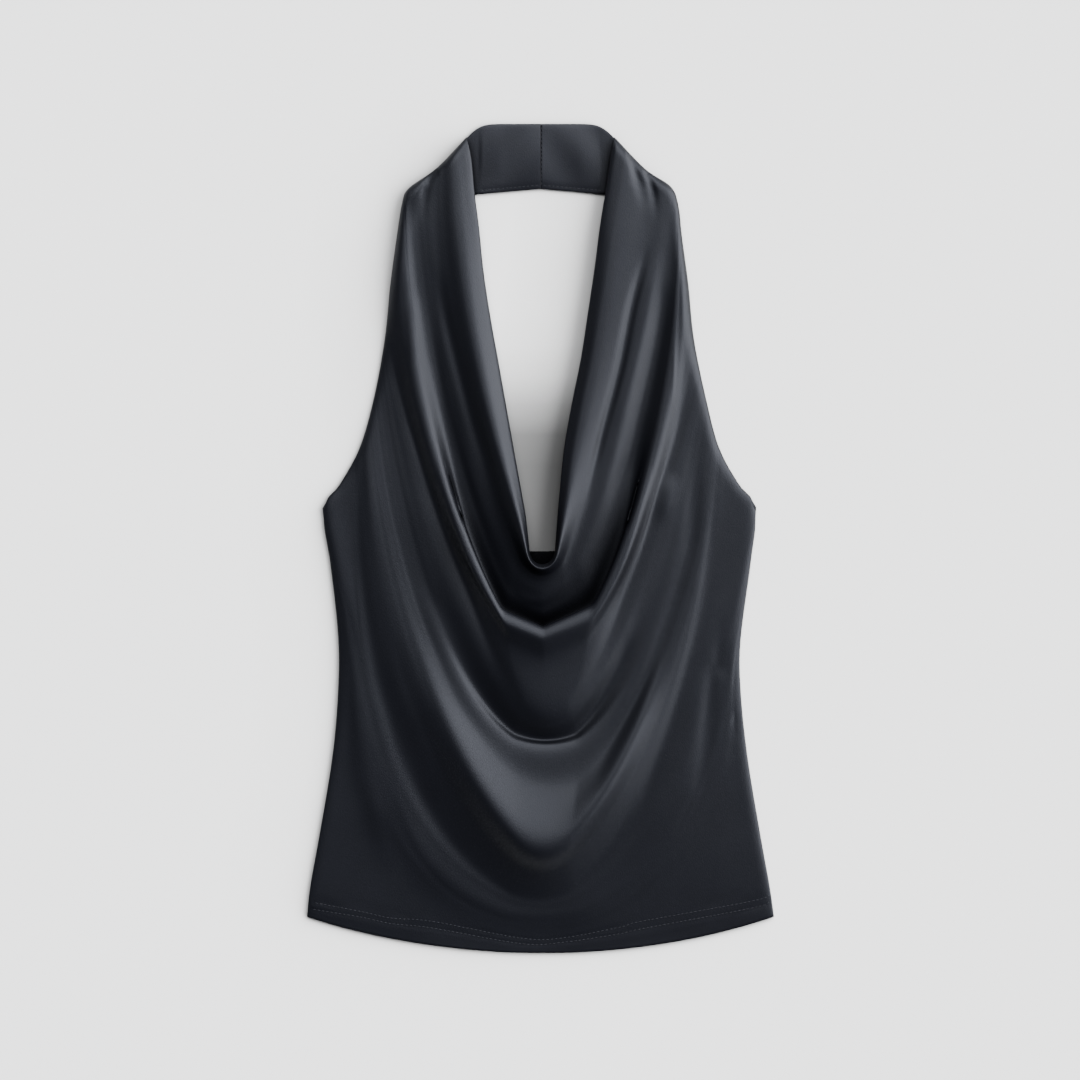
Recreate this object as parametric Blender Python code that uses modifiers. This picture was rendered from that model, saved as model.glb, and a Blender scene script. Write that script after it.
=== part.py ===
"""Sleeveless cowl neck top of satin, laid flat with its front up.

The front is one draped panel. Its folds hang in nested swags between two straps, and its neck edge
is rolled and turned in. It lies on a plain back panel. The ends of the straps fold over and run
behind the neck as a double band, joined by a seam at the centre back.

Lengths in the tables are millimetres. X runs across the garment, Y from hem to neck, Z up from
the surface it lies on. The origin is under the middle of the whole garment.
"""

from collections import namedtuple

import bpy
import numpy as np

MM = 0.001

# Driving sizes
WALL = 1.2
SEAM_GAP = 0.3
BAND_THICK = 2.4
BAND_CROWN = 1.3
BAND_RISE = 2.8
BACK_RISE = WALL + SEAM_GAP
EDGE_LIFT = 0.8
FOLD_LIFT = 2.6
EDGE_ROUND = 9.0
NECK_LOW = -23.0
BACK_TOP_LOW = -13.0
BACK_TOP_RISE = 39.0
UNDERARM_HALF = 196.0
SIDE_INSET = 0.4
BAND_RAMP_START = 252.0
BAND_RAMP_END = 284.0
BACK_RAMP_START = 30.0
BACK_RAMP_END = 7.0

# Looks
FRONT_COLOUR = (0.022, 0.026, 0.040)
BACK_COLOUR = (0.024, 0.028, 0.042)
BAND_COLOUR = (0.026, 0.030, 0.044)
SATIN_ROUGHNESS = 0.38

# Mesh density
EDGE_COLUMNS = (0.0, 0.006, 0.018, 0.04)
SWAG_COLUMNS = 22
CENTRE_SPACING = 0.5
FACING_INSET = 0.03
BACK_COLUMNS = 23
BACK_ROWS = 15

# How far along each leg a swag's lowest point is rounded, how round the neck's lowest point is, and
# the share of a row at each end that is pulled onto the outer edge
LOW_TURN = 30.0
NECK_TURN = 0.6
EDGE_PULL = 0.25

# How many stations either side of the underarm its corner reaches
CORNER_REACH = 0.35

# Points along the curves that are measured by length
LEG_SAMPLES = 160
TURN_SAMPLES = 20
EDGE_SAMPLES = 160

# The outer edge, both sides, from the neck end of the strap's fold round to the hem corner.
Station = namedtuple("Station", "name left right")
EDGE = [
    Station("strap fold, neck end", (-66.5, 360.5), (66.5, 360.5)),
    Station("strap fold, notch", (-93, 333), (94, 332)),
    Station("strap fold, shoulder", (-118, 315), (117, 316)),
    Station("armhole top", (-124, 303), (124, 299)),
    Station("armhole 1", (-129, 272), (127, 272)),
    Station("armhole 2", (-135, 228), (133, 228)),
    Station("armhole 3", (-140, 180), (138, 180)),
    Station("armhole 4", (-150, 126), (149, 126)),
    Station("armhole 5", (-163, 81), (161, 81)),
    Station("armhole 6", (-181, 48), (179, 48)),
    Station("underarm", (-196, 27), (194, 28)),
    Station("bust", (-189, -22), (189, -22)),
    Station("waist top", (-182, -87), (180, -91)),
    Station("waist", (-182, -136), (180, -136)),
    Station("hip 1", (-187, -195), (186, -195)),
    Station("hip 2", (-198, -262), (197, -262)),
    Station("hip 3", (-207, -312), (206, -312)),
    Station("hem corner", (-210, -340), (210, -340)),
]
UNDERARM = 10
HEM_CORNER = len(EDGE) - 1

# The neck opening by level, from the strap fold down to where its round bottom starts.
Level = namedtuple("Level", "y left right")
NECK = [
    Level(360.5, -66.5, 66.5),
    Level(341, -62, 62.5),
    Level(310, -59, 58),
    Level(279, -55, 53),
    Level(240, -51, 48),
    Level(200, -45, 42),
    Level(161, -38, 36),
    Level(121, -31, 28),
    Level(81, -24, 21),
    Level(42, -17, 17),
    Level(19, -13, 15),
    Level(-8, -10, 13),
]

# A swag hangs from a station on each edge. The high and low points pull its two legs.
Swag = namedtuple("Swag", "left_at left_high left_low low right_low right_high right_at")
SWAGS = {
    "roll crease": Swag(1.0, (-101, 188), (-18, -55), (2, -45), (22, -55), (94, 188), 1.3),
    "swag 2": Swag(2.3, (-128, 107), (-52, -50), (2, -118), (74, -52), (136, 125), 2.8),
    "crease 2": Swag(5.9, (-122, 89), (-44, -124), (2, -168), (63, -136), (108, 53), 6.5),
    "valley 3": Swag(6.3, (-126, 17), (-71, -177), (4, -186), (63, -186), (117, -19), 6.9),
    "swag 3": Swag(6.6, (-129, -1), (-77, -186), (5, -190), (76, -189), (137, -28), 7.05),
    "valley 4": Swag(6.9, (-140, -19), (-77, -195), (5, -225), (70, -226), (148, -28), 7.2),
    "swag 4": Swag(7.3, (-148, -46), (-81, -226), (2, -288), (81, -235), (145, -55), 7.6),
    "crease 4": Swag(8.2, (-176, -91), (-116, -289), (2, -328), (90, -289), (160, -91), 8.0),
    "side fold": Swag(11.5, (-157, -122), (-158, -325), (2, -342), (144, -325), (156, -165), 11.3),
    "hem fold": Swag(16.3, (-158, -337), (-72, -354), (2, -357), (81, -353), (157, -333), 16.2),
    "hem": Swag(17.0, (-153, -359), (-81, -372), (2, -373), (90, -372), (157, -358), 17.0),
}

# A blunt swag's legs end on two shallow lines: their level at the middle and their slope.
BLUNT_SWAG = "swag 2"
BLUNT_LOW = -78.5
BLUNT_SLOPE = 0.42
BLUNT_ROUND = 1.6

# The front's rows from the turned-in facing to the hem. A row lies on a swag, or part of the way
# from it to the next by shares at its left leg, lowest point and right leg. Its heights above what
# the front rests on are at its left end, left leg, lowest point, right leg and right end.
Row = namedtuple("Row", "name swag towards share heights steps")
ROWS = [
    Row("facing edge", "neck", "roll crease", (0.80, 0.60, 0.80), (0, 0, 0, 0, 0), 3),
    Row("facing", "neck", "roll crease", (0.12, 0.20, 0.12), (0, 0, 0, 0, 0), 2),
    Row("neck edge", "neck", None, None, (6, 11, 16, 13, 6), 3),
    Row("roll", "neck", "roll crease", (0.32, 0.36, 0.26), (10, 20, 21.5, 19, 10), 3),
    Row("roll crease", "roll crease", None, None, (8, 9.5, 12, 12.5, 8), 2),
    Row("inner fold", "roll crease", "swag 2", (0.35, 0.35, 0.25), (8.5, 7.5, 8, 12, 9), 2),
    Row("hollow", "roll crease", "swag 2", (0.60, 0.70, 0.60), (8, 5, 4.5, 7.5, 8.5), 2),
    Row("swag 2 foot", "roll crease", "swag 2", (0.76, 1.06, 0.74), (8, 6.5, 1.5, 7.5, 8.5), 1),
    Row("swag 2 nose", "roll crease", "swag 2", (0.90, 1.00, 0.88), (9, 10.5, 20, 10.5, 9), 1),
    Row("swag 2", "swag 2", "crease 2", (0.30, 0.10, 0.26), (9.5, 17, 24, 15.5, 10), 5),
    Row("crease 2", "crease 2", None, None, (5, 9, 15, 9, 5), 2),
    Row("fold 3", "crease 2", "valley 3", (0.45, 0.45, 0.45), (5, 10, 12, 9.5, 5), 2),
    Row("valley 3", "valley 3", None, None, (4, 6.5, 6, 7.5, 5), 2),
    Row("swag 3", "swag 3", None, None, (4, 7.5, 10, 8, 5), 2),
    Row("valley 4", "valley 4", None, None, (4, 6, 14, 7, 5), 5),
    Row("swag 4", "swag 4", None, None, (5, 12, 27, 11, 5.5), 3),
    Row("swag 4 back", "swag 4", "crease 4", (0.5, 0.5, 0.5), (5, 9, 14, 9, 5), 2),
    Row("crease 4", "crease 4", None, None, (3, 5.5, 6, 6, 4), 2),
    Row("underarm", "crease 4", "side fold", (0.545, 0.5, 0.606), (3, 6.5, 5, 6, 3), 2),
    Row("side fold", "side fold", None, None, (3, 7, 4.5, 5, 3), 3),
    Row("hem start", "side fold", "hem fold", (0.5, 0.5, 0.5), (3, 5, 3.5, 4.5, 3), 2),
    Row("hem fold", "hem fold", None, None, (2.6, 2.8, 2.6, 2.8, 2.6), 2),
    Row("hem", "hem", None, None, (2, 2, 2, 2, 2), 0),
]
UNDER_ROWS = 2

# The neck band: distances from the centre back seam, and its cross-section as distance in from the
# lower edge, distance in from the top edge, and height.
BAND_STATIONS = (0.15, 8, 18, 30, 42, 50, 56, 61, 66, 72, 80, 90, 101, 112)
BAND_TOP = 373.0
BAND_LOW = 314.5
BAND_LOW_SLOPE = 0.0875
BAND_FOLD = (63.0, 364.6, 1.12)
BAND_CORNER = 5.0
BAND_SHOWS = 56.0
CROWN_FADE = 22.0
CROWN_SHAPE = 0.8
TOP_EDGE = ((0.9, 0.0), (0.25, 0.5), (0.0, 1.2), (0.25, 1.9), (0.9, 2.4))
LOW_EDGE = ((0.5, 2.4), (0.0, 1.9), (0.0, 0.5), (0.5, 0.0))
BAND_ACROSS = (0.85, 0.65, 0.45, 0.25, 0.1)


def smooth(value, low, high):
    """0 below low, 1 above high, and a smooth rise between."""
    f = np.clip((value - low) / (high - low), 0.0, 1.0)
    return f * f * (3 - 2 * f)


def spline(points, at):
    """Catmull-Rom curve through the points, read where the point numbers in at say."""
    points = np.asarray(points, float)
    at = np.clip(np.asarray(at, float), 0, len(points) - 1)
    i = np.minimum(at.astype(int), len(points) - 2)
    f = (at - i).reshape(-1, *[1] * (points.ndim - 1))
    first = 2 * points[:1] - points[1:2]
    last = 2 * points[-1:] - points[-2:-1]
    padded = np.concatenate([first, points, last])
    a, b, c, d = (padded[i + k] for k in range(4))
    return 0.5 * (
        2 * b + (c - a) * f + (2 * a - 5 * b + 4 * c - d) * f**2 + (3 * b - a - 3 * c + d) * f**3
    )


def bezier(a, b, c, d, count=LEG_SAMPLES):
    a, b, c, d = (np.asarray(p, float) for p in (a, b, c, d))
    u = np.linspace(0, 1, count)[:, None]
    return (1 - u) ** 3 * a + 3 * (1 - u) ** 2 * u * b + 3 * (1 - u) * u**2 * c + u**3 * d


def by_length(points, shares):
    """The points at these shares of a polyline's length."""
    steps = np.linalg.norm(np.diff(points, axis=0), axis=1)
    along = np.concatenate([[0], np.cumsum(steps)])
    return np.stack([np.interp(shares * along[-1], along, points[:, k]) for k in (0, 1)], axis=1)


def edge_point(side, at):
    """A point on the outer edge: a smooth curve, with a corner at the underarm."""
    points = np.array([getattr(station, side) for station in EDGE], float)
    at = np.asarray(at, float)
    straight = np.stack([np.interp(at, np.arange(len(points)), points[:, k]) for k in (0, 1)], axis=-1)
    corner = np.exp(-(((at - UNDERARM) / CORNER_REACH) ** 2))[:, None]
    return spline(points, at) * (1 - corner) + straight * corner


def column_shares():
    """Shares of a leg's length, from the edge to the lowest point: close at both ends."""
    v = np.linspace(0, 1, SWAG_COLUMNS + 1)[1:]
    rest = CENTRE_SPACING * v + (1 - CENTRE_SPACING) * (1 - (1 - v) ** 2)
    start = EDGE_COLUMNS[-1]
    return np.concatenate([EDGE_COLUMNS, start + (1 - start) * rest])


def neck_leg(side):
    """The neck edge from the strap fold to its lowest point: a long leg and a quarter of the U."""
    levels = [(getattr(level, side), level.y) for level in NECK]
    leg = spline(levels, np.linspace(0, len(NECK) - 1, LEG_SAMPLES))
    corner = np.array([leg[-1, 0], NECK_LOW])
    low = np.array([(NECK[-1].left + NECK[-1].right) / 2, NECK_LOW])
    down, across = NECK_TURN * (corner - leg[-1]), NECK_TURN * (corner - low)
    turn = bezier(leg[-1], leg[-1] + down, low + across, low, TURN_SAMPLES)
    return np.concatenate([leg, turn[1:]])


def leg_points(name, side):
    if name == "neck":
        return neck_leg(side)
    swag = SWAGS[name]
    start = edge_point(side, [getattr(swag, side + "_at")])[0]
    leg = bezier(start, getattr(swag, side + "_high"), getattr(swag, side + "_low"), swag.low)
    if name == BLUNT_SWAG:
        shallow = BLUNT_LOW + BLUNT_SLOPE * np.abs(leg[:, 0] - swag.low[0])
        leg[:, 1] = BLUNT_ROUND * np.logaddexp(leg[:, 1] / BLUNT_ROUND, shallow / BLUNT_ROUND)
    return leg


def rounded_leg(leg, other):
    """The leg with its last part bent on a curve that meets the other leg at the lowest point."""
    low = leg[-1]
    ends = []
    for points in (leg, other):
        steps = np.linalg.norm(np.diff(points, axis=0), axis=1)
        to_low = np.concatenate([np.cumsum(steps[::-1])[::-1], [0]])
        ends.append([np.interp(LOW_TURN, to_low[::-1], points[::-1, k]) for k in (0, 1)])
        if points is leg:
            u = (0.5 - 0.5 * np.minimum(to_low / LOW_TURN, 1))[:, None]
            near = (to_low < LOW_TURN)[:, None]
    turn = (1 - u) ** 2 * np.array(ends[0]) + 2 * u * (1 - u) * low + u**2 * np.array(ends[1])
    return np.where(near, turn, leg)


def swag_plan(name, shares):
    """Plan points of one swag, from its left end to its right end."""
    left, right = leg_points(name, "left"), leg_points(name, "right")
    if name not in ("neck", BLUNT_SWAG):
        left, right = rounded_leg(left, right), rounded_leg(right, left)
    return np.concatenate([by_length(left, shares), by_length(right, shares)[-2::-1]])


def station_of(name, side):
    return 0.0 if name == "neck" else getattr(SWAGS[name], side + "_at")


def both_sides(shares, left, low, right):
    """Values from left end to right end that go from left to low and on to right."""
    rise = smooth(shares, 0.5, 1.0)
    return np.concatenate([left + (low - left) * rise, (right + (low - right) * rise)[-2::-1]])


def row_plan(row, shares):
    plan = swag_plan(row.swag, shares)
    if row.towards is None:
        return plan
    share = both_sides(shares, *row.share)[:, None]
    return plan + share * (swag_plan(row.towards, shares) - plan)


def row_station(row, side):
    at = station_of(row.swag, side)
    if row.towards is None:
        return at
    share = row.share[0] if side == "left" else row.share[2]
    return at + share * (station_of(row.towards, side) - at)


def row_heights(row, shares):
    """The row's height at each column, a smooth curve through its five values."""
    along = np.concatenate([2 * shares, 4 - 2 * shares[-2::-1]])
    return spline(row.heights, along)


def loft(rows, steps):
    """Points between the rows on smooth curves through them, with centripetal spacing."""
    rows = np.concatenate([2 * rows[:1] - rows[1:2], rows, 2 * rows[-1:] - rows[-2:-1]])
    gaps = np.linalg.norm(np.diff(rows, axis=0), axis=2, keepdims=True) ** 0.5 + 1e-6
    made = []
    for k, count in enumerate(steps):
        a, b, c, d = rows[k : k + 4]
        ab, bc, cd = gaps[k : k + 3]
        start = c - b + bc * ((b - a) / ab - (c - a) / (ab + bc))
        end = c - b + bc * ((d - c) / cd - (d - b) / (bc + cd))
        for f in np.arange(count) / count:
            made.append(
                b * (2 * f**3 - 3 * f**2 + 1)
                + c * (3 * f**2 - 2 * f**3)
                + start * (f**3 - 2 * f**2 + f)
                + end * (f**3 - f**2)
            )
    made.append(rows[-2])
    return np.array(made)


def spread(values, steps):
    """Row values repeated at every made row, in straight steps."""
    at = np.concatenate([k + np.arange(n) / n for k, n in enumerate(steps)] + [[len(steps)]])
    return np.interp(at, np.arange(len(values)), values)


def distance_to(points, line):
    """Shortest distance in plan from each point to a polyline."""
    a, b = line[:-1], line[1:]
    along = b - a
    offset = points[..., None, :] - a
    f = np.clip((offset * along).sum(-1) / (along**2).sum(-1), 0, 1)
    return np.linalg.norm(offset - f[..., None] * along, axis=-1).min(-1)


def back_top(x):
    """Level of the back panel's top edge, lowest at the middle."""
    return BACK_TOP_LOW + BACK_TOP_RISE * (x / UNDERARM_HALF) ** 2


def rest_height(x, y):
    """Height of what lies under the front: the neck band, the bare surface or the back panel."""
    over_band = BAND_RISE * smooth(y, BAND_RAMP_START, BAND_RAMP_END)
    over_back = BACK_RISE * smooth(back_top(x) - y, -BACK_RAMP_START, -BACK_RAMP_END)
    return over_band + over_back


def front_surface():
    """Outer points of the front as a grid of rows and columns, millimetres."""
    shares = column_shares()
    inset = FACING_INSET + (1 - FACING_INSET) * shares
    plans = [row_plan(row, inset if k < UNDER_ROWS else shares) for k, row in enumerate(ROWS)]
    heights = [row_heights(row, shares) for row in ROWS]
    keys = np.dstack([np.array(plans), np.array(heights)])
    steps = [row.steps for row in ROWS[:-1]]
    grid = loft(keys, steps)

    # Pull the ends of the rows onto the outer edge, which curves between the stations they start at
    first = sum(steps[:UNDER_ROWS])
    fade = 1 - smooth(shares, 0, EDGE_PULL)
    for side, column, weights in (("left", 0, fade), ("right", -1, fade[::-1])):
        stations = spread([row_station(row, side) for row in ROWS], steps)[first:]
        shift = edge_point(side, stations) - grid[first:, column, :2]
        half = slice(0, len(fade)) if side == "left" else slice(-len(fade), None)
        grid[first:, half, :2] += weights[None, :, None] * shift[:, None, :]

    rest = rest_height(grid[..., 0], grid[..., 1])
    stations = np.linspace(0, HEM_CORNER, EDGE_SAMPLES)
    lines = [edge_point(side, stations) for side in ("left", "right")]
    from_edge = np.minimum(*(distance_to(grid[first:, :, :2], line) for line in lines))
    round_in = np.sqrt(1 - (1 - np.clip(from_edge / EDGE_ROUND, 0, 1)) ** 2)
    at_fold = smooth(grid[first:, :, 1], BAND_RAMP_START, BAND_RAMP_END)
    low = rest[first:] + EDGE_LIFT + (FOLD_LIFT - EDGE_LIFT) * at_fold
    grid[..., 2] = np.maximum(grid[..., 2], 0) + rest
    grid[first:, :, 2] = low + round_in * (grid[first:, :, 2] - low)
    return grid


def back_surface():
    """Top points of the back panel as a grid: its top edge first, its hem last."""
    across = np.linspace(0, 1, BACK_COLUMNS)
    down = np.linspace(0, 1, BACK_ROWS)
    stations = np.linspace(UNDERARM, HEM_CORNER, EDGE_SAMPLES)
    sides = [edge_point(side, stations) for side in ("left", "right")]
    hem = swag_plan("hem", np.linspace(0, 1, EDGE_SAMPLES))
    grid = np.zeros((len(down), len(across), 3))
    for r, v in enumerate(down):
        left, right = (by_length(side, np.array([v]))[0] for side in sides)
        x = left[0] + SIDE_INSET + (right[0] - left[0] - 2 * SIDE_INSET) * across
        level = left[1] + (right[1] - left[1]) * across
        top = back_top(x) - back_top(left[0])
        bottom = np.interp(x, hem[:, 0], hem[:, 1]) + SIDE_INSET - hem[0, 1]
        grid[r] = np.stack([x, level + (1 - v) * top + v * bottom, np.full_like(x, WALL)], axis=1)
    return grid


def band_ring(x, side):
    """One closed cross-section of the neck band at a distance x from the centre back seam."""
    fold_x, fold_y, slope = BAND_FOLD
    diagonal = fold_y - (x - fold_x) * slope
    top = -BAND_CORNER * np.logaddexp(-BAND_TOP / BAND_CORNER, -diagonal / BAND_CORNER)
    low = BAND_LOW - BAND_LOW_SLOPE * x
    crown = BAND_CROWN * (1 - smooth(x, BAND_SHOWS - CROWN_FADE, BAND_SHOWS))
    ring = [(top - inset, z) for inset, z in TOP_EDGE]
    for v in BAND_ACROSS:
        ring.append((low + v * (top - low), BAND_THICK + crown * np.sin(np.pi * v) ** CROWN_SHAPE))
    ring += [(low + inset, z) for inset, z in LOW_EDGE]
    return [(side * x, y, z) for y, z in ring]


def satin(name, colour):
    """A plain dark satin."""
    material = bpy.data.materials.new(name)
    material.use_nodes = True
    shader = material.node_tree.nodes["Principled BSDF"]
    shader.inputs["Base Color"].default_value = (*colour, 1)
    shader.inputs["Roughness"].default_value = SATIN_ROUGHNESS
    material.diffuse_color = (*colour, 1)
    return material


def add_object(name, mesh, colour, collection):
    """An object of the mesh, with a satin of its own."""
    mesh.materials.append(satin(name + "_satin", colour))
    mesh.shade_smooth()
    obj = bpy.data.objects.new(name, mesh)
    collection.objects.link(obj)
    return obj


def add_sheet(name, grid, colour, collection):
    """A cloth panel: an open grid of its upper side, made a wall by Solidify."""
    rows, columns = grid.shape[:2]
    faces = []
    for r in range(rows - 1):
        for c in range(columns - 1):
            at = r * columns + c
            faces.append((at, at + columns, at + columns + 1, at + 1))
    mesh = bpy.data.meshes.new(name)
    mesh.from_pydata((grid.reshape(-1, 3) * MM).tolist(), [], faces)
    obj = add_object(name, mesh, colour, collection)
    wall = obj.modifiers.new("wall", "SOLIDIFY")
    wall.thickness = WALL * MM
    wall.offset = -1


def add_band(name, side, colour, collection):
    """Half of the neck band: closed rings from the centre back seam to under the strap."""
    rings = [band_ring(x, side) for x in BAND_STATIONS]
    count = len(rings[0])
    faces = []
    for r in range(len(rings) - 1):
        for k in range(count):
            a, b = r * count + k, r * count + (k + 1) % count
            faces.append((a, b, b + count, a + count)[:: int(side)])
    last = (len(rings) - 1) * count
    faces.append(tuple(range(count))[:: -int(side)])
    faces.append(tuple(range(last, last + count))[:: int(side)])
    points = [tuple(value * MM for value in point) for ring in rings for point in ring]
    mesh = bpy.data.meshes.new(name)
    mesh.from_pydata(points, [], faces)
    add_object(name, mesh, colour, collection)


def main():
    for obj in list(bpy.data.objects):
        bpy.data.objects.remove(obj, do_unlink=True)
    collection = bpy.data.collections.new("cowl_neck_top")
    bpy.context.scene.collection.children.link(collection)
    add_sheet("front_panel", front_surface(), FRONT_COLOUR, collection)
    add_sheet("back_panel", back_surface(), BACK_COLOUR, collection)
    add_band("neckband_left", -1.0, BAND_COLOUR, collection)
    add_band("neckband_right", 1.0, BAND_COLOUR, collection)


main()
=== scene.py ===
"""A sleeveless cowl neck top of dark satin, laid flat on a pale surface and seen from above.

Each piece of cloth is built again on the form of its solid, with a finer grid, its small creases,
its hem and its stitches. Lengths in the tables are millimetres, in the frame of the solids: X
across the garment, Y from hem to neck, Z up from the surface it lies on.
"""

from collections import namedtuple

import bpy
import numpy as np
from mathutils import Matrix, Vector
from mathutils.bvhtree import BVHTree


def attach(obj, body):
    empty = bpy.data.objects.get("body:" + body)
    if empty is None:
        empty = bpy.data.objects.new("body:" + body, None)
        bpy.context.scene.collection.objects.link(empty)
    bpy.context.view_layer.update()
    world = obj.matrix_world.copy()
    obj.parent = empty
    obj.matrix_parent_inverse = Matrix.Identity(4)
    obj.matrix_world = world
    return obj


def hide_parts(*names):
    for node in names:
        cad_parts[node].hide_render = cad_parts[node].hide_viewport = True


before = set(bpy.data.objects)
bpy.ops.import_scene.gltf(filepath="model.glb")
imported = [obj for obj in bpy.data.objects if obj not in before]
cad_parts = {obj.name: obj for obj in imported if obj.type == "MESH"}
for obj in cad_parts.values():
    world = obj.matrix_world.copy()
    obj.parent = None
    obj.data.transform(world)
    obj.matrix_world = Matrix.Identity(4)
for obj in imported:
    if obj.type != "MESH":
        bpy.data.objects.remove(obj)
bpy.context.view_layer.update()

MM = 0.001
SEED = 7

# The cloth's driving sizes
WALL = 1.2
SEAM_GAP = 0.3
BAND_THICK = 2.4
BAND_CROWN = 1.3
BAND_RISE = 2.8
BACK_RISE = WALL + SEAM_GAP
EDGE_LIFT = 0.8
FOLD_LIFT = 2.6
EDGE_ROUND = 9.0
NECK_LOW = -23.0
BACK_TOP_LOW = -13.0
BACK_TOP_RISE = 39.0
UNDERARM_HALF = 196.0
SIDE_INSET = 0.4
BAND_RAMP_START = 130.0
BAND_RAMP_END = 284.0
BACK_RAMP_START = 110.0
BACK_RAMP_END = 7.0

# Mesh density
EDGE_COLUMNS = (0.0, 0.002, 0.005, 0.009, 0.014, 0.020, 0.027, 0.034, 0.042)
SWAG_COLUMNS = 86
CENTRE_SPACING = 0.6
FACING_INSET = 0.03
STEPS_FINER = 4.6
BACK_COLUMNS = 120
BACK_ROWS = 90
BAND_COLUMNS = 90

# How far along each leg a swag's lowest point is rounded, how round the neck's lowest point is, and
# the share of a row at each end that is pulled onto the outer edge
LOW_TURN = 30.0
NECK_TURN = 0.6
EDGE_PULL = 0.25

# How far the folds on the legs are smoothed, between which shares of the width and which rows from
# the neck edge it comes in, the least reach that is worked with, and the least that is used
SOFT_REACH = 4.6
SOFT_SHARES = (0.32, 0.58)
SOFT_ROWS = (10, 26)
SOFT_LEAST = 0.05
SOFT_FROM = 0.5

# Fine soft folds: how many run down the front and how high they are, how they drift and swell along
# their length as sizes and rates, how low they are at the middle, between which shares of the width
# they rise, and the gap between rows below which they fade
FOLD_WAVES = ((11, 0.20), (19, 0.10), (31, 0.05))
FOLD_DRIFT = ((1.6, 2.1), (0.9, 5.3))
FOLD_SWELL = (0.6, 0.4)
FOLD_SWELL_RATES = (3.1, 5)
FOLD_MIDDLE = 0.35
FOLD_SHARES = (0.1, 0.7)
FOLD_GAP = 1.8

# Rows from the neck edge over which creases and folds come in
TURN_ROWS = (2, 12)

# How many stations either side of the underarm its corner reaches
CORNER_REACH = 0.35

# Points along the curves that are measured by length
LEG_SAMPLES = 160
TURN_SAMPLES = 20
EDGE_SAMPLES = 160
HEM_SAMPLES = 300
CREASE_SAMPLES = 8

# Rows close to the back panel's edges, as shares of its length
BACK_EDGE_ROWS = (0.0005, 0.0015)

# How steep the sides of a crease or groove are, and the least share it takes to fade
BELL = 1.6
LEAST_FADE = 1e-3

# The outer edge, both sides, from the neck end of the strap's fold round to the hem corner.
Station = namedtuple("Station", "name left right")
EDGE = [
    Station("strap fold, neck end", (-66.5, 360.5), (66.5, 360.5)),
    Station("strap fold, notch", (-93, 333), (94, 332)),
    Station("strap fold, shoulder", (-118, 315), (117, 316)),
    Station("armhole top", (-124, 303), (124, 299)),
    Station("armhole 1", (-129, 272), (127, 272)),
    Station("armhole 2", (-135, 228), (133, 228)),
    Station("armhole 3", (-140, 180), (138, 180)),
    Station("armhole 4", (-150, 126), (149, 126)),
    Station("armhole 5", (-163, 81), (161, 81)),
    Station("armhole 6", (-181, 48), (179, 48)),
    Station("underarm", (-196, 27), (194, 28)),
    Station("bust", (-189, -22), (189, -22)),
    Station("waist top", (-182, -87), (180, -91)),
    Station("waist", (-182, -136), (180, -136)),
    Station("hip 1", (-187, -195), (186, -195)),
    Station("hip 2", (-198, -262), (197, -262)),
    Station("hip 3", (-207, -312), (206, -312)),
    Station("hem corner", (-210, -340), (210, -340)),
]
UNDERARM = 10
HEM_CORNER = len(EDGE) - 1

# The neck opening by level, from the strap fold down to where its round bottom starts.
Level = namedtuple("Level", "y left right")
NECK = [
    Level(360.5, -66.5, 66.5),
    Level(341, -62, 62.5),
    Level(310, -59, 58),
    Level(279, -55, 53),
    Level(240, -51, 48),
    Level(200, -45, 42),
    Level(161, -38, 36),
    Level(121, -31, 28),
    Level(81, -24, 21),
    Level(42, -17, 17),
    Level(19, -13, 15),
    Level(-8, -10, 13),
]

# A swag hangs from a station on each edge. The high and low points pull its two legs.
Swag = namedtuple("Swag", "left_at left_high left_low low right_low right_high right_at")
SWAGS = {
    "roll crease": Swag(1.0, (-101, 188), (-18, -55), (2, -45), (22, -55), (94, 188), 1.3),
    "swag 2": Swag(2.3, (-128, 107), (-52, -50), (2, -118), (74, -52), (136, 125), 2.8),
    "crease 2": Swag(5.9, (-122, 89), (-44, -124), (2, -168), (63, -136), (108, 53), 6.5),
    "valley 3": Swag(6.3, (-126, 17), (-71, -177), (4, -186), (63, -186), (117, -19), 6.9),
    "swag 3": Swag(6.6, (-129, -1), (-77, -186), (5, -190), (76, -189), (137, -28), 7.05),
    "valley 4": Swag(6.9, (-140, -19), (-77, -195), (5, -225), (70, -226), (148, -28), 7.2),
    "swag 4": Swag(7.3, (-148, -46), (-81, -226), (2, -288), (81, -235), (145, -55), 7.6),
    "crease 4": Swag(8.2, (-176, -91), (-116, -289), (2, -328), (90, -289), (160, -91), 8.0),
    "side fold": Swag(11.5, (-157, -122), (-158, -325), (2, -342), (144, -325), (156, -165), 11.3),
    "hem fold": Swag(16.3, (-158, -337), (-72, -354), (2, -357), (81, -353), (157, -333), 16.2),
    "hem": Swag(17.0, (-153, -359), (-81, -372), (2, -373), (90, -372), (157, -358), 17.0),
}

# A blunt swag's legs end on two shallow lines: their level at the middle and their slope.
BLUNT_SWAG = "swag 2"
BLUNT_LOW = -78.5
BLUNT_SLOPE = 0.42
BLUNT_ROUND = 1.6

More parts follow.
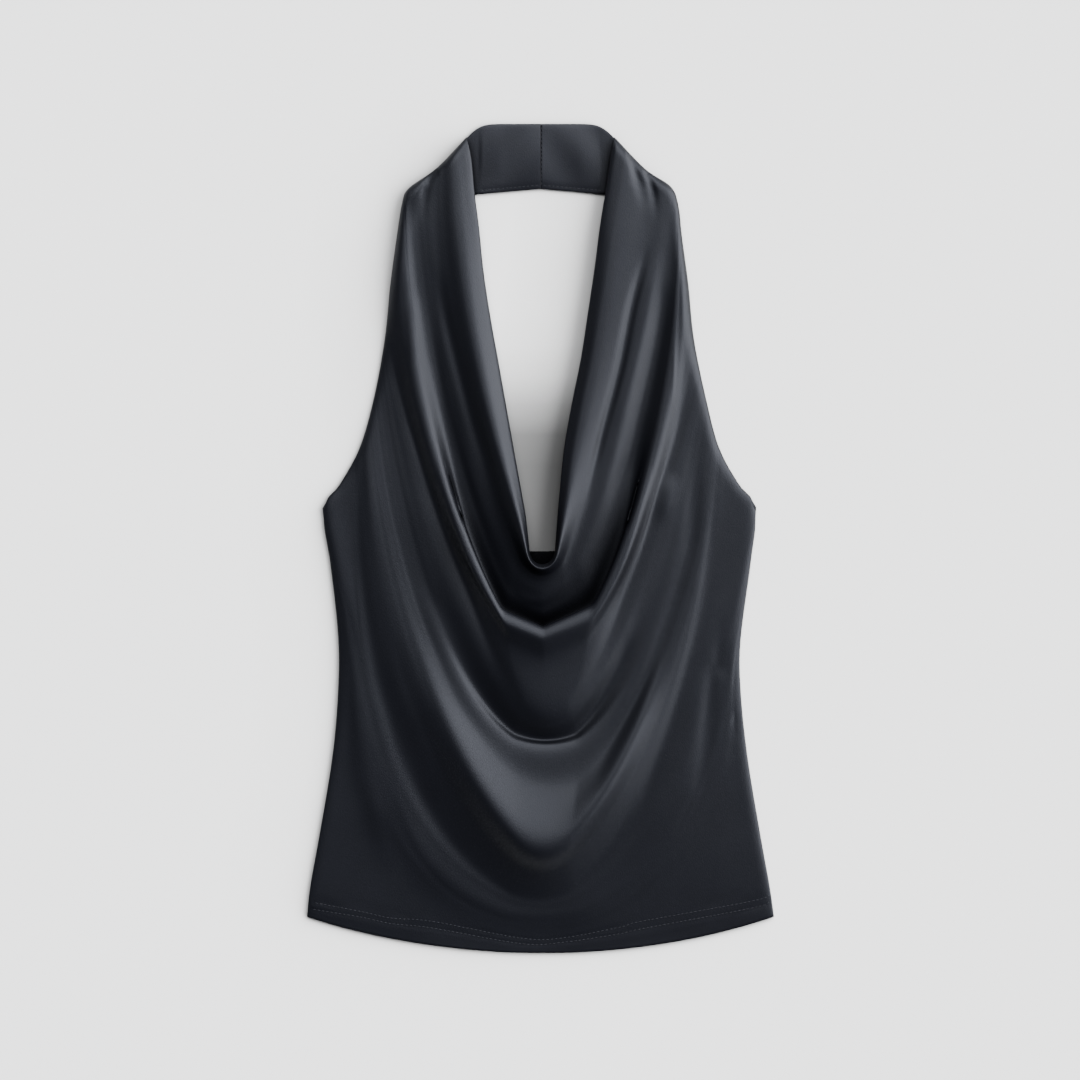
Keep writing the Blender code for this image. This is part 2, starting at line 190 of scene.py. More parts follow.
# The front's rows from the turned-in facing to the hem. A row lies on a swag, or part of the way
# from it to the next by shares at its left leg, lowest point and right leg. Its heights above what
# the front rests on are at its left end, left leg, lowest point, right leg and right end.
Row = namedtuple("Row", "name swag towards share heights steps")
ROWS = [
    Row("facing edge", "neck", "roll crease", (0.80, 0.60, 0.80), (0, 0, 0, 0, 0), 3),
    Row("facing", "neck", "roll crease", (0.12, 0.20, 0.12), (0, 0, 0, 0, 0), 2),
    Row("neck edge", "neck", None, None, (6, 7, 15, 12, 6), 1),
    Row("roll rise", "neck", "roll crease", (0.17, 0.12, 0.07), (8, 12, 18, 14.5, 8), 2),
    Row("roll", "neck", "roll crease", (0.54, 0.36, 0.30), (10, 16.5, 21.5, 18.5, 10), 3),
    Row("roll crease", "roll crease", None, None, (8, 9.5, 12, 12.5, 8), 2),
    Row("inner fold", "roll crease", "swag 2", (0.35, 0.35, 0.25), (8.5, 7.5, 8, 12, 9), 2),
    Row("hollow", "roll crease", "swag 2", (0.55, 0.70, 0.50), (8, 5, 4.5, 7.5, 8.5), 2),
    Row("swag 2 foot", "roll crease", "swag 2", (0.87, 1.06, 0.83), (8, 8.5, 3, 9, 8.5), 1),
    Row("swag 2 nose", "roll crease", "swag 2", (0.90, 1.00, 0.86), (9, 12, 19, 12.5, 9), 1),
    Row("swag 2", "swag 2", "crease 2", (0.48, 0.12, 0.46), (9.5, 18, 24, 18, 10), 2),
    Row("swag 2 back", "swag 2", "crease 2", (0.78, 0.36, 0.76), (8, 12, 19, 11, 8.5), 3),
    Row("crease 2", "crease 2", None, None, (5, 8.5, 16, 8.5, 5.5), 2),
    Row("fold 3", "crease 2", "valley 3", (0.45, 0.45, 0.45), (5, 9, 12, 9, 5.5), 2),
    Row("valley 3", "valley 3", None, None, (4.5, 7.5, 5.5, 7.5, 5), 2),
    Row("swag 3", "swag 3", None, None, (4.5, 7.2, 10, 7.6, 5), 2),
    Row("valley 4", "valley 4", None, None, (4.5, 7.5, 14, 7, 5), 5),
    Row("swag 4", "swag 4", None, None, (5, 11, 27, 10.5, 5.5), 3),
    Row("swag 4 back", "swag 4", "crease 4", (0.5, 0.5, 0.5), (5, 8.5, 14, 8.5, 5), 2),
    Row("crease 4", "crease 4", None, None, (3, 5.5, 6, 6, 4), 2),
    Row("underarm", "crease 4", "side fold", (0.545, 0.5, 0.606), (3, 6.5, 5, 6, 3), 2),
    Row("side fold", "side fold", None, None, (3, 7, 4.5, 5, 3), 3),
    Row("hem start", "side fold", "hem fold", (0.5, 0.5, 0.5), (3, 5, 3.5, 4.5, 3), 2),
    Row("hem fold", "hem fold", None, None, (2.6, 2.8, 2.6, 2.8, 2.6), 2),
    Row("hem", "hem", None, None, (2, 2, 2, 2, 2), 0),
]
UNDER_ROWS = 2

# Small creases of the front, in plan. Height is above the cloth (a trough's is below zero), width is
# from the middle to where it has nearly gone, and start and end are the shares it takes to fade in
# and out.
Crease = namedtuple("Crease", "name height width start end points")
CREASES = [
    Crease(
        "left roll", -1.2, 9, 0.30, 0.25,
        [
            (-95, 250), (-90, 221), (-81, 181), (-63, 118), (-54, 90), (-45, 63), (-34, 19),
        ],
    ),
    Crease(
        "second left line", -0.5, 9, 0.20, 0.25,
        [
            (-98, 235), (-96, 195), (-88, 109), (-83, 76), (-75, 45), (-62, 20),
        ],
    ),
    Crease("left strap streak", 0.7, 12, 0.30, 0.35, [(-115, 291), (-121, 265), (-124, 240), (-124, 215)]),
    Crease("left strap lower streak", 0.8, 9, 0.30, 0.30, [(-115, 224), (-112, 190), (-112, 160)]),
    Crease("left notch", -1.8, 7, 0.02, 0.6, [(-95, 331), (-101, 319), (-105, 302), (-107, 280)]),
    Crease("left notch ridge", 1.0, 9, 0.10, 0.6, [(-104, 322), (-112, 308), (-115, 290)]),
    Crease(
        "right roll", -2.4, 6, 0.30, 0.25,
        [
            (99, 266), (91, 241), (82, 208), (73, 162), (65, 129), (56, 96), (48, 63), (39, 26),
        ],
    ),
    Crease(
        "right ridge", 0.9, 13, 0.25, 0.35,
        [
            (108, 261), (100, 229), (94, 199), (85, 162), (73, 119), (63, 90),
        ],
    ),
    Crease(
        "right valley", -1.8, 12, 0.25, 0.30,
        [
            (115, 233), (111, 203), (99, 149), (91, 116), (82, 76), (73, 50), (63, 19),
        ],
    ),
    Crease("right notch 1", -2.4, 6, 0.02, 0.6, [(81, 345), (85, 330), (90, 314), (96, 290)]),
    Crease("right notch 2", -1.8, 5, 0.02, 0.6, [(95, 330), (100, 314), (102, 303), (104, 285)]),
    Crease(
        "crease 2 left", -0.8, 8, 0.20, 0.30,
        [
            (-137, 175), (-118, 105), (-109, 76), (-96, 34), (-65, -46), (-45, -99), (-27, -141),
        ],
    ),
    Crease("crease 2 left ridge", 0.5, 13, 0.25, 0.40, [(-127, 149), (-118, 102), (-107, 62), (-95, 30)]),
    Crease(
        "crease 2 right", -0.8, 10, 0.20, 0.35,
        [
            (135, 152), (126, 109), (116, 72), (105, 45), (92, 7), (79, -37), (63, -81),
            (48, -110),
        ],
    ),
    Crease("right patch", 1.4, 12, 0.45, 0.45, [(119, 60), (113, 38), (105, 10)]),
    Crease(
        "valley 3 left", -0.4, 13, 0.25, 0.30,
        [
            (-137, 136), (-130, 96), (-118, 17), (-104, -41), (-79, -79), (-59, -123),
            (-43, -151), (-26, -169), (-4, -185),
        ],
    ),
    Crease(
        "valley 3 right", -0.8, 11, 0.30, 0.30,
        [
            (81, -79), (73, -106), (60, -131), (45, -156), (18, -180),
        ],
    ),
    Crease(
        "valley 4 left", -0.3, 15, 0.30, 0.40,
        [
            (-127, -2), (-112, -67), (-93, -106), (-84, -137), (-63, -164), (-43, -182),
            (-15, -195),
        ],
    ),
    Crease(
        "valley 4 right", -1.4, 12, 0.25, 0.35,
        [
            (142, 109), (139, 70), (136, 4), (126, -37), (115, -72), (101, -113), (76, -162),
            (60, -195), (48, -226), (36, -244),
        ],
    ),
    Crease(
        "outside swag 4 left", 0.3, 10, 0.20, 0.35,
        [
            (-156, 89), (-154, 56), (-153, 19), (-147, -30), (-135, -85), (-129, -126),
            (-114, -164), (-98, -208), (-84, -261),
        ],
    ),
    Crease(
        "outside swag 4 left valley", -0.5, 11, 0.15, 0.40,
        [
            (-163, 76), (-163, 44), (-163, -17), (-156, -72), (-147, -126), (-135, -164),
            (-128, -206), (-114, -247),
        ],
    ),
    Crease(
        "outside swag 4 right", -0.7, 9, 0.20, 0.40,
        [
            (155, 70), (155, 25), (149, -37), (140, -85), (130, -123), (116, -171), (101, -213),
            (87, -254), (73, -282), (57, -316),
        ],
    ),
    Crease(
        "left side ridge", 1.0, 15, 0.30, 0.40,
        [
            (-174, -55), (-164, -164), (-153, -226), (-144, -261), (-128, -314),
        ],
    ),
    Crease(
        "right side fold", -1.4, 12, 0.25, 0.40,
        [
            (163, -64), (159, -113), (154, -123), (149, -179), (143, -213), (140, -244),
        ],
    ),
    Crease("right small crease", -1.0, 4, 0.30, 0.50, [(178, -158), (175, -166), (171, -173)]),
    Crease("hollow arc", 0.5, 7, 0.35, 0.35, [(-26, -44), (-10, -55), (8, -52), (31, -28)]),
]

# Rows of stitches at the hem, from the left edge to the right one, and the groove they lie in.
HEM_ROWS = {
    "upper": [
        (-204, -327), (-162, -335), (-134, -341), (-97, -344), (-18, -359), (19, -359),
        (72, -349), (90, -344), (189, -326), (207, -320),
    ],
    "lower": [
        (-206, -333), (-162, -340), (-134, -346), (-97, -350), (-18, -364), (19, -363),
        (72, -355), (89, -351), (190, -332), (207, -326),
    ],
}
STITCH_LENGTH = 2.6
STITCH_GAP = 1.2
STITCH_RADIUS = 0.28
STITCH_START = 1.5
STITCH_LENGTHS = (0.9, 1.1)
STITCH_GAPS = (0.85, 1.2)
STITCH_OUT = 0.35
STITCH_ARCH = 0.15
STITCH_SIDES = 6
STITCH_PROFILE = ((-1.0, 0.0), (-0.8, 0.7), (-0.3, 1.0), (0.3, 1.0), (0.8, 0.7), (1.0, 0.0))
CAST_FROM = 100
GROOVE_DEPTH = 0.3
GROOVE_WIDTH = 2.2

# The neck band: its cross-section is distance in from the lower edge, distance in from the top edge,
# and height.
BAND_END = 112.0
BAND_TOP = 373.0
BAND_LOW = 314.5
BAND_LOW_SLOPE = 0.0875
BAND_FOLD = (63.0, 364.6, 1.12)
BAND_CORNER = 5.0
BAND_SHOWS = 56.0
CROWN_FADE = 22.0
CROWN_SHAPE = 0.8
TOP_EDGE = ((0.9, 0.0), (0.4, 0.2), (0.1, 0.6), (0.0, 1.2), (0.1, 1.8), (0.4, 2.2), (0.9, 2.4))
LOW_EDGE = ((0.5, 2.4), (0.15, 2.2), (0.0, 1.8), (0.0, 0.6), (0.15, 0.15), (0.5, 0.0))
BAND_ROWS = 26

# The band's topstitching: how far in it lies, from where to how far past the strap it goes, and the
# depth and width of its groove
BAND_STITCH_IN = 3.2
BAND_STITCH_START = 0.8
BAND_STITCH_PAST = 1
BAND_STITCH_SAMPLES = 60
BAND_GROOVE = (0.45, 1.3)

# The band's soft wave: its height, its rate along the band and its rate across it
BAND_WAVE = (0.8, 0.11, 2.4)
BAND_WAVE_FADE = 4

# The centre back seam: the depth of its groove on the turned side and on the flat one, its width,
# the columns close to it, and where its stitches lie
SEAM_GROOVE_TURNED = 0.7
SEAM_GROOVE_FLAT = 0.05
SEAM_GROOVE_WIDTH = 0.9
SEAM_START = 0.02
SEAM_REACH = 3
SEAM_COLUMNS = 14
SEAM_STITCH_AT = 0.9
SEAM_STITCH_IN = 1.5
SEAM_STITCH_SINK = 0.1

# The satin's colours, its gloss, and how far, in metres, it looks round for cloth that stands close, to
# paint shade between the folds
FACE_COLOUR = (0.0018, 0.0020, 0.0032)
BAND_COLOUR = (0.0026, 0.0028, 0.0043)
SATIN_SHINE = 0.17
SATIN_ROUGHNESS = 0.42
SATIN_PAINTED_SHADE_REACH = 0.045
SATIN_PAINTED_SHADE_SAMPLES = 12

# The surface: its half width and how far it lies below the cloth, in metres, and the direction, reach
# and samples of the shadow painted into its colour beside the cloth
FLOOR_HALF = 30.0
FLOOR_DROP = 0.0002
FLOOR_PAINTED_SHADOW_TOWARDS = (0.77, 0.64)
FLOOR_PAINTED_SHADOW_REACH = 0.08
FLOOR_PAINTED_SHADOW_SAMPLES = 24

# The surface under the neck opening, in metres: the levels between which its painted shade is given, how
# far from the middle it goes, and how light the painted shade leaves it at shares of the way up
OPENING_FOOT = -0.10
OPENING_LIGHT = 0.23
OPENING_REACH = 0.1
OPENING_PAINTED_SHADE = (
    (0.12, 1.0),
    (0.21, 0.21),
    (0.50, 0.17),
    (0.585, 0.20),
    (0.667, 0.42),
    (0.748, 0.76),
    (0.83, 0.95),
    (0.92, 1.0),
)

# The lights: azimuth from +X towards +Y, elevation and spread are in degrees.
Sun = namedtuple("Sun", "name azimuth elevation strength spread")
SUNS = (Sun("key", 15, 25, 13.4, 62), Sun("top", 85, 52, 6.2, 50))
WORLD_STRENGTH = 0.78

# The camera looks straight down, so that the photograph's 1080 by 1080 pixels are 0.9 mm each.
CAMERA_AT = (-0.00045, -0.00135)
CAMERA_HEIGHT = 2.4
FRAME_WIDTH = 0.972
SENSOR_WIDTH = 36


def smooth(value, low, high):
    """0 below low, 1 above high, and a smooth rise between."""
    f = np.clip((value - low) / (high - low), 0.0, 1.0)
    return f * f * (3 - 2 * f)


def spline(points, at):
    """Catmull-Rom curve through the points, read where the point numbers in at say."""
    points = np.asarray(points, float)
    at = np.clip(np.asarray(at, float), 0, len(points) - 1)
    i = np.minimum(at.astype(int), len(points) - 2)
    f = (at - i).reshape(-1, *[1] * (points.ndim - 1))
    first = 2 * points[:1] - points[1:2]
    last = 2 * points[-1:] - points[-2:-1]
    padded = np.concatenate([first, points, last])
    a, b, c, d = (padded[i + k] for k in range(4))
    return 0.5 * (
        2 * b + (c - a) * f + (2 * a - 5 * b + 4 * c - d) * f**2 + (3 * b - a - 3 * c + d) * f**3
    )


def bezier(a, b, c, d, count=LEG_SAMPLES):
    a, b, c, d = (np.asarray(p, float) for p in (a, b, c, d))
    u = np.linspace(0, 1, count)[:, None]
    return (1 - u) ** 3 * a + 3 * (1 - u) ** 2 * u * b + 3 * (1 - u) * u**2 * c + u**3 * d


def lengths_along(points):
    steps = np.linalg.norm(np.diff(points, axis=0), axis=1)
    return np.concatenate([[0], np.cumsum(steps)])


def by_length(points, shares):
    """The points at these shares of a polyline's length."""
    along = lengths_along(points)
    return np.stack([np.interp(shares * along[-1], along, points[:, k]) for k in (0, 1)], axis=1)


def edge_point(side, at):
    """A point on the outer edge: a smooth curve, with a corner at the underarm."""
    points = np.array([getattr(station, side) for station in EDGE], float)
    at = np.asarray(at, float)
    straight = np.stack([np.interp(at, np.arange(len(points)), points[:, k]) for k in (0, 1)], axis=-1)
    corner = np.exp(-(((at - UNDERARM) / CORNER_REACH) ** 2))[:, None]
    return spline(points, at) * (1 - corner) + straight * corner


def column_shares():
    """Shares of a leg's length, from the edge to the lowest point: close at both ends."""
    v = np.linspace(0, 1, SWAG_COLUMNS + 1)[1:]
    rest = CENTRE_SPACING * v + (1 - CENTRE_SPACING) * (1 - (1 - v) ** 2)
    start = EDGE_COLUMNS[-1]
    return np.concatenate([EDGE_COLUMNS, start + (1 - start) * rest])


def neck_leg(side):
    """The neck edge from the strap fold to its lowest point: a long leg and a quarter of the U."""
    levels = [(getattr(level, side), level.y) for level in NECK]
    leg = spline(levels, np.linspace(0, len(NECK) - 1, LEG_SAMPLES))
    corner = np.array([leg[-1, 0], NECK_LOW])
    low = np.array([(NECK[-1].left + NECK[-1].right) / 2, NECK_LOW])
    down, across = NECK_TURN * (corner - leg[-1]), NECK_TURN * (corner - low)
    turn = bezier(leg[-1], leg[-1] + down, low + across, low, TURN_SAMPLES)
    return np.concatenate([leg, turn[1:]])


def leg_points(name, side):
    if name == "neck":
        return neck_leg(side)
    swag = SWAGS[name]
    start = edge_point(side, [getattr(swag, side + "_at")])[0]
    leg = bezier(start, getattr(swag, side + "_high"), getattr(swag, side + "_low"), swag.low)
    if name == BLUNT_SWAG:
        shallow = BLUNT_LOW + BLUNT_SLOPE * np.abs(leg[:, 0] - swag.low[0])
        leg[:, 1] = BLUNT_ROUND * np.logaddexp(leg[:, 1] / BLUNT_ROUND, shallow / BLUNT_ROUND)
    return leg


def rounded_leg(leg, other):
    """The leg with its last part bent on a curve that meets the other leg at the lowest point."""
    low = leg[-1]
    ends = []
    for points in (leg, other):
        steps = np.linalg.norm(np.diff(points, axis=0), axis=1)
        to_low = np.concatenate([np.cumsum(steps[::-1])[::-1], [0]])
        ends.append([np.interp(LOW_TURN, to_low[::-1], points[::-1, k]) for k in (0, 1)])
        if points is leg:
            u = (0.5 - 0.5 * np.minimum(to_low / LOW_TURN, 1))[:, None]
            near = (to_low < LOW_TURN)[:, None]
    turn = (1 - u) ** 2 * np.array(ends[0]) + 2 * u * (1 - u) * low + u**2 * np.array(ends[1])
    return np.where(near, turn, leg)


def swag_plan(name, shares):
    """Plan points of one swag, from its left end to its right end."""
    left, right = leg_points(name, "left"), leg_points(name, "right")
    if name not in ("neck", BLUNT_SWAG):
        left, right = rounded_leg(left, right), rounded_leg(right, left)
    return np.concatenate([by_length(left, shares), by_length(right, shares)[-2::-1]])


def station_of(name, side):
    return 0.0 if name == "neck" else getattr(SWAGS[name], side + "_at")


def both_sides(shares, left, low, right):
    """Values from left end to right end that go from left to low and on to right."""
    rise = smooth(shares, 0.5, 1.0)
    return np.concatenate([left + (low - left) * rise, (right + (low - right) * rise)[-2::-1]])


def row_plan(row, shares):
    plan = swag_plan(row.swag, shares)
    if row.towards is None:
        return plan
    share = both_sides(shares, *row.share)[:, None]
    return plan + share * (swag_plan(row.towards, shares) - plan)


def row_station(row, side):
    at = station_of(row.swag, side)
    if row.towards is None:
        return at
    share = row.share[0] if side == "left" else row.share[2]
    return at + share * (station_of(row.towards, side) - at)


def row_heights(row, shares):
    """The row's height at each column, a smooth curve through its five values."""
    along = np.concatenate([2 * shares, 4 - 2 * shares[-2::-1]])
    return spline(row.heights, along)


def loft(rows, steps):
    """Points between the rows on smooth curves through them, with centripetal spacing."""
    rows = np.concatenate([2 * rows[:1] - rows[1:2], rows, 2 * rows[-1:] - rows[-2:-1]])
    gaps = np.linalg.norm(np.diff(rows, axis=0), axis=2, keepdims=True) ** 0.5 + 1e-6
    made = []
    for k, count in enumerate(steps):
        a, b, c, d = rows[k : k + 4]
        ab, bc, cd = gaps[k : k + 3]
        start = c - b + bc * ((b - a) / ab - (c - a) / (ab + bc))
        end = c - b + bc * ((d - c) / cd - (d - b) / (bc + cd))
        for f in np.arange(count) / count:
            made.append(
                b * (2 * f**3 - 3 * f**2 + 1)
                + c * (3 * f**2 - 2 * f**3)
                + start * (f**3 - 2 * f**2 + f)
                + end * (f**3 - f**2)
            )
    made.append(rows[-2])
    return np.array(made)


def spread(values, steps):
    """Row values repeated at every made row, in straight steps."""
    at = np.concatenate([k + np.arange(n) / n for k, n in enumerate(steps)] + [[len(steps)]])
    return np.interp(at, np.arange(len(values)), values)


def nearest_on(points, line):
    """For each point, its distance in plan from a polyline and how far along the line that is."""
    a, b = line[:-1], line[1:]
    along = b - a
    offset = points[..., None, :] - a
    f = np.clip((offset * along).sum(-1) / (along**2).sum(-1), 0, 1)
    distance = np.linalg.norm(offset - f[..., None] * along, axis=-1)
    nearest = distance.argmin(-1)
    best = np.take_along_axis(distance, nearest[..., None], -1)[..., 0]
    share = nearest + np.take_along_axis(f, nearest[..., None], -1)[..., 0]
    return best, share / len(along)


def back_top(x):
    """Level of the back panel's top edge, lowest at the middle."""
    return BACK_TOP_LOW + BACK_TOP_RISE * (x / UNDERARM_HALF) ** 2


def rest_height(x, y):
    """Height of what lies under the front: the neck band, the bare surface or the back panel."""
    over_band = BAND_RISE * smooth(y, BAND_RAMP_START, BAND_RAMP_END)
    over_back = BACK_RISE * smooth(back_top(x) - y, -BACK_RAMP_START, -BACK_RAMP_END)
    return over_band + over_back


def bell(distance, width):
    """1 on the line of a crease or groove, and nearly 0 at its width."""
    return np.exp(-((BELL * distance / width) ** 2))


def add_crease(points, crease):
    """Height that one crease adds at each of the points, in plan."""
    count = len(crease.points)
    line = spline(crease.points, np.linspace(0, count - 1, CREASE_SAMPLES * count))
    low, high = line.min(0) - 2 * crease.width, line.max(0) + 2 * crease.width
    near = ((points > low) & (points < high)).all(-1)
    added = np.zeros(points.shape[:-1])
    distance, share = nearest_on(points[near], line)
    taper = smooth(share, 0, max(crease.start, LEAST_FADE)) * (1 - smooth(share, 1 - crease.end, 1))
    added[near] = crease.height * taper * bell(distance, crease.width)
    return added


def hem_line(name):
    points = HEM_ROWS[name]
    return spline(points, np.linspace(0, len(points) - 1, HEM_SAMPLES))


def spacing(grid):
    """How far apart the rows are in plan, measured square to them."""
    down, along = np.gradient(grid[..., :2], axis=0), np.gradient(grid[..., :2], axis=1)
    along /= np.linalg.norm(along, axis=2, keepdims=True) + 1e-9
    return np.abs(down[..., 0] * along[..., 1] - down[..., 1] * along[..., 0]) + 1e-3


def small_folds(grid, first):
    """Fine soft folds that run with the swags and change slowly along them, in millimetres."""
    rng = np.random.default_rng(SEED)
    rows, columns = grid.shape[:2]
    r = np.arange(rows)[:, None] / rows
    c = np.abs(np.linspace(-1, 1, columns))[None, :]
    side = np.linspace(-1, 1, columns)[None, :]
    (slow, slow_rate), (fast, fast_rate) = FOLD_DRIFT
    steady, varied = FOLD_SWELL
    across, down = FOLD_SWELL_RATES
    made = np.zeros((rows, columns))
    for waves, height in FOLD_WAVES:
        phase = rng.uniform(0, 2 * np.pi, 4)
        drift = slow * np.sin(slow_rate * side + phase[0]) + fast * np.sin(fast_rate * side + phase[1])
        swell = steady + varied * np.sin(across * side + down * r + phase[2])
        made += height * swell * np.sin(2 * np.pi * waves * r + drift + phase[3])
    made *= FOLD_MIDDLE + (1 - FOLD_MIDDLE) * smooth(c, *FOLD_SHARES)
    made *= smooth(spacing(grid), 0, FOLD_GAP)
    made[:first] = 0
    return made


def soften(grid, first):
    """Smooth the heights across the folds on the legs, where a loft makes them too sharp.

    Each height becomes that of the straight line that fits its neighbours best.
    """
    c = np.abs(np.linspace(-1, 1, grid.shape[1]))
    top = grid[first:]
    weights = spacing(top)
    along = np.gradient(top[..., :2], axis=1)
    along /= np.linalg.norm(along, axis=2, keepdims=True) + 1e-9
    reach = SOFT_REACH * smooth(c, *SOFT_SHARES) * smooth(np.arange(len(top)), *SOFT_ROWS)[:, None]
    heights = top[..., 2].copy()
    for k, distance in enumerate(reach + SOFT_LEAST):
        offset = top[..., :2] - top[k, :, :2]
        across = offset[..., 0] * along[k, :, 1] - offset[..., 1] * along[k, :, 0]
        near = weights * np.exp(-((across / distance) ** 2) / 2)
        total, first_moment = near.sum(0), (near * across).sum(0)
        second_moment = (near * across**2).sum(0)
        level, lean = (near * heights).sum(0), (near * across * heights).sum(0)
        spread_out = total * second_moment - first_moment**2
        fitted = (second_moment * level - first_moment * lean) / (spread_out + 1e-9)
        top[k, :, 2] = np.where(distance > SOFT_FROM, fitted, heights[k])


def front_surface():
    """Outer points of the front as a grid of rows and columns, millimetres."""
    shares = column_shares()
    inset = FACING_INSET + (1 - FACING_INSET) * shares
    plans = [row_plan(row, inset if k < UNDER_ROWS else shares) for k, row in enumerate(ROWS)]
    heights = [row_heights(row, shares) for row in ROWS]
    keys = np.dstack([np.array(plans), np.array(heights)])
    steps = [row.steps for row in ROWS[:-1]]
    steps = [n if k < UNDER_ROWS else round(STEPS_FINER * n) for k, n in enumerate(steps)]
    grid = loft(keys, steps)

    # Pull the ends of the rows onto the outer edge, which curves between the stations they start at
    first = sum(steps[:UNDER_ROWS])
    fade = 1 - smooth(shares, 0, EDGE_PULL)
    for side, column, weights in (("left", 0, fade), ("right", -1, fade[::-1])):
        stations = spread([row_station(row, side) for row in ROWS], steps)[first:]
        shift = edge_point(side, stations) - grid[first:, column, :2]
        half = slice(0, len(fade)) if side == "left" else slice(-len(fade), None)
        grid[first:, half, :2] += weights[None, :, None] * shift[:, None, :]

    # Small creases, folds and the grooves of the hem's stitches, less where the cloth turns under
    soften(grid, first)
    top = grid[first:]
    added = sum(add_crease(top[..., :2], crease) for crease in CREASES)
    added = added + small_folds(grid, first)[first:]
    for name in HEM_ROWS:
        distance, _ = nearest_on(top[..., :2], hem_line(name))
        added = added - GROOVE_DEPTH * bell(distance, GROOVE_WIDTH)
    fade_in = smooth(np.arange(len(top)), *TURN_ROWS)[:, None]
    grid[first:, :, 2] += added * fade_in

    rest = rest_height(grid[..., 0], grid[..., 1])
    stations = np.linspace(0, HEM_CORNER, EDGE_SAMPLES)
    lines = [edge_point(side, stations) for side in ("left", "right")]
    from_edge = np.minimum(*(nearest_on(grid[first:, :, :2], line)[0] for line in lines))
    round_in = np.sqrt(1 - (1 - np.clip(from_edge / EDGE_ROUND, 0, 1)) ** 2)
    at_fold = smooth(grid[first:, :, 1], BAND_RAMP_START, BAND_RAMP_END)
    low = rest[first:] + EDGE_LIFT + (FOLD_LIFT - EDGE_LIFT) * at_fold
    grid[..., 2] = np.maximum(grid[..., 2], 0) + rest
    grid[first:, :, 2] = low + round_in * (grid[first:, :, 2] - low)
    return grid


def back_surface():
    """Top points of the back panel as a grid: its top edge first, its hem last."""
    across = np.linspace(0, 1, BACK_COLUMNS)
    outer, inner = BACK_EDGE_ROWS
    rows = np.linspace(inner, 1 - inner, BACK_ROWS)
    down = np.concatenate([[0, outer], rows, [1 - outer, 1]])
    stations = np.linspace(UNDERARM, HEM_CORNER, EDGE_SAMPLES)
    sides = [edge_point(side, stations) for side in ("left", "right")]
    hem = swag_plan("hem", np.linspace(0, 1, EDGE_SAMPLES))
    grid = np.zeros((len(down), len(across), 3))
    for r, v in enumerate(down):
        left, right = (by_length(side, np.array([v]))[0] for side in sides)
        x = left[0] + SIDE_INSET + (right[0] - left[0] - 2 * SIDE_INSET) * across
        level = left[1] + (right[1] - left[1]) * across
        top = back_top(x) - back_top(left[0])
        bottom = np.interp(x, hem[:, 0], hem[:, 1]) + SIDE_INSET - hem[0, 1]
        grid[r] = np.stack([x, level + (1 - v) * top + v * bottom, np.full_like(x, WALL)], axis=1)
    return grid


def band_ring(x, side, phase):
    """One closed cross-section of the neck band at a distance x from the centre back seam."""
    fold_x, fold_y, slope = BAND_FOLD
    groove_depth, groove_width = BAND_GROOVE
    wave_height, rate_along, rate_across = BAND_WAVE
    seam_depth = SEAM_GROOVE_TURNED if side > 0 else SEAM_GROOVE_FLAT
    shows = 1 - smooth(x, BAND_SHOWS - BAND_WAVE_FADE, BAND_SHOWS)
    diagonal = fold_y - (x - fold_x) * slope
    top = -BAND_CORNER * np.logaddexp(-BAND_TOP / BAND_CORNER, -diagonal / BAND_CORNER)
    low = BAND_LOW - BAND_LOW_SLOPE * x
    crown = BAND_CROWN * (1 - smooth(x, BAND_SHOWS - CROWN_FADE, BAND_SHOWS))
    ring = [(top - inset, z) for inset, z in TOP_EDGE]
    for k in range(1, BAND_ROWS):
        v = 1 - k / BAND_ROWS
        y = low + v * (top - low)
        z = BAND_THICK + crown * np.sin(np.pi * v) ** CROWN_SHAPE
        from_stitch = y - low - BAND_STITCH_IN
        wave = np.sin(rate_along * x + rate_across * v + phase)
        z -= groove_depth * shows * np.exp(-((from_stitch / groove_width) ** 2))
        z += wave_height * shows * np.sin(np.pi * v) * wave
        z -= seam_depth * shows * np.exp(-((x / SEAM_GROOVE_WIDTH) ** 2))
        ring.append((y, z))
    ring += [(low + inset, z) for inset, z in LOW_EDGE]
    return [(side * x, y, z) for y, z in ring]


def sheet_mesh(name, grid):
    rows, columns = grid.shape[:2]
    at = np.arange(rows * columns).reshape(rows, columns)
    quads = np.stack([at[:-1, :-1], at[1:, :-1], at[1:, 1:], at[:-1, 1:]], axis=-1).reshape(-1, 4)
    mesh = bpy.data.meshes.new(name)
    mesh.from_pydata((grid.reshape(-1, 3) * MM).tolist(), [], quads.tolist())

    # The cloth's own coordinates, in metres along its rows and down its columns
    across = np.linalg.norm(np.diff(grid, axis=1), axis=2)
    down = np.linalg.norm(np.diff(grid, axis=0), axis=2)
    u = np.concatenate([np.zeros((rows, 1)), np.cumsum(across, axis=1)], axis=1)
    u -= u[:, columns // 2][:, None]
    v = np.concatenate([np.zeros((1, columns)), np.cumsum(down, axis=0)], axis=0)
    uv = np.stack([u, -v], axis=-1).reshape(-1, 2) * MM
    layer = mesh.uv_layers.new(name="cloth")
    corner = np.empty(len(mesh.loops), np.int32)
    mesh.loops.foreach_get("vertex_index", corner)
    layer.data.foreach_set("uv", uv[corner].astype(np.float32).ravel())
    mesh.shade_smooth()
    return mesh


def add_object(name, mesh, material, slot, *nodes):
    mesh.materials.append(material)
    obj = bpy.data.objects.new(name, mesh)
    bpy.context.scene.collection.objects.link(obj)
    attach(obj, "root")
    if nodes:
        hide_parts(*nodes)
    return obj


def add_sheet(name, grid, material, node):
    obj = add_object(name, sheet_mesh(name, grid), material, node + "_satin", node)
    wall = obj.modifiers.new("wall", "SOLIDIFY")
    wall.thickness = WALL * MM
    wall.offset = -1
    return obj


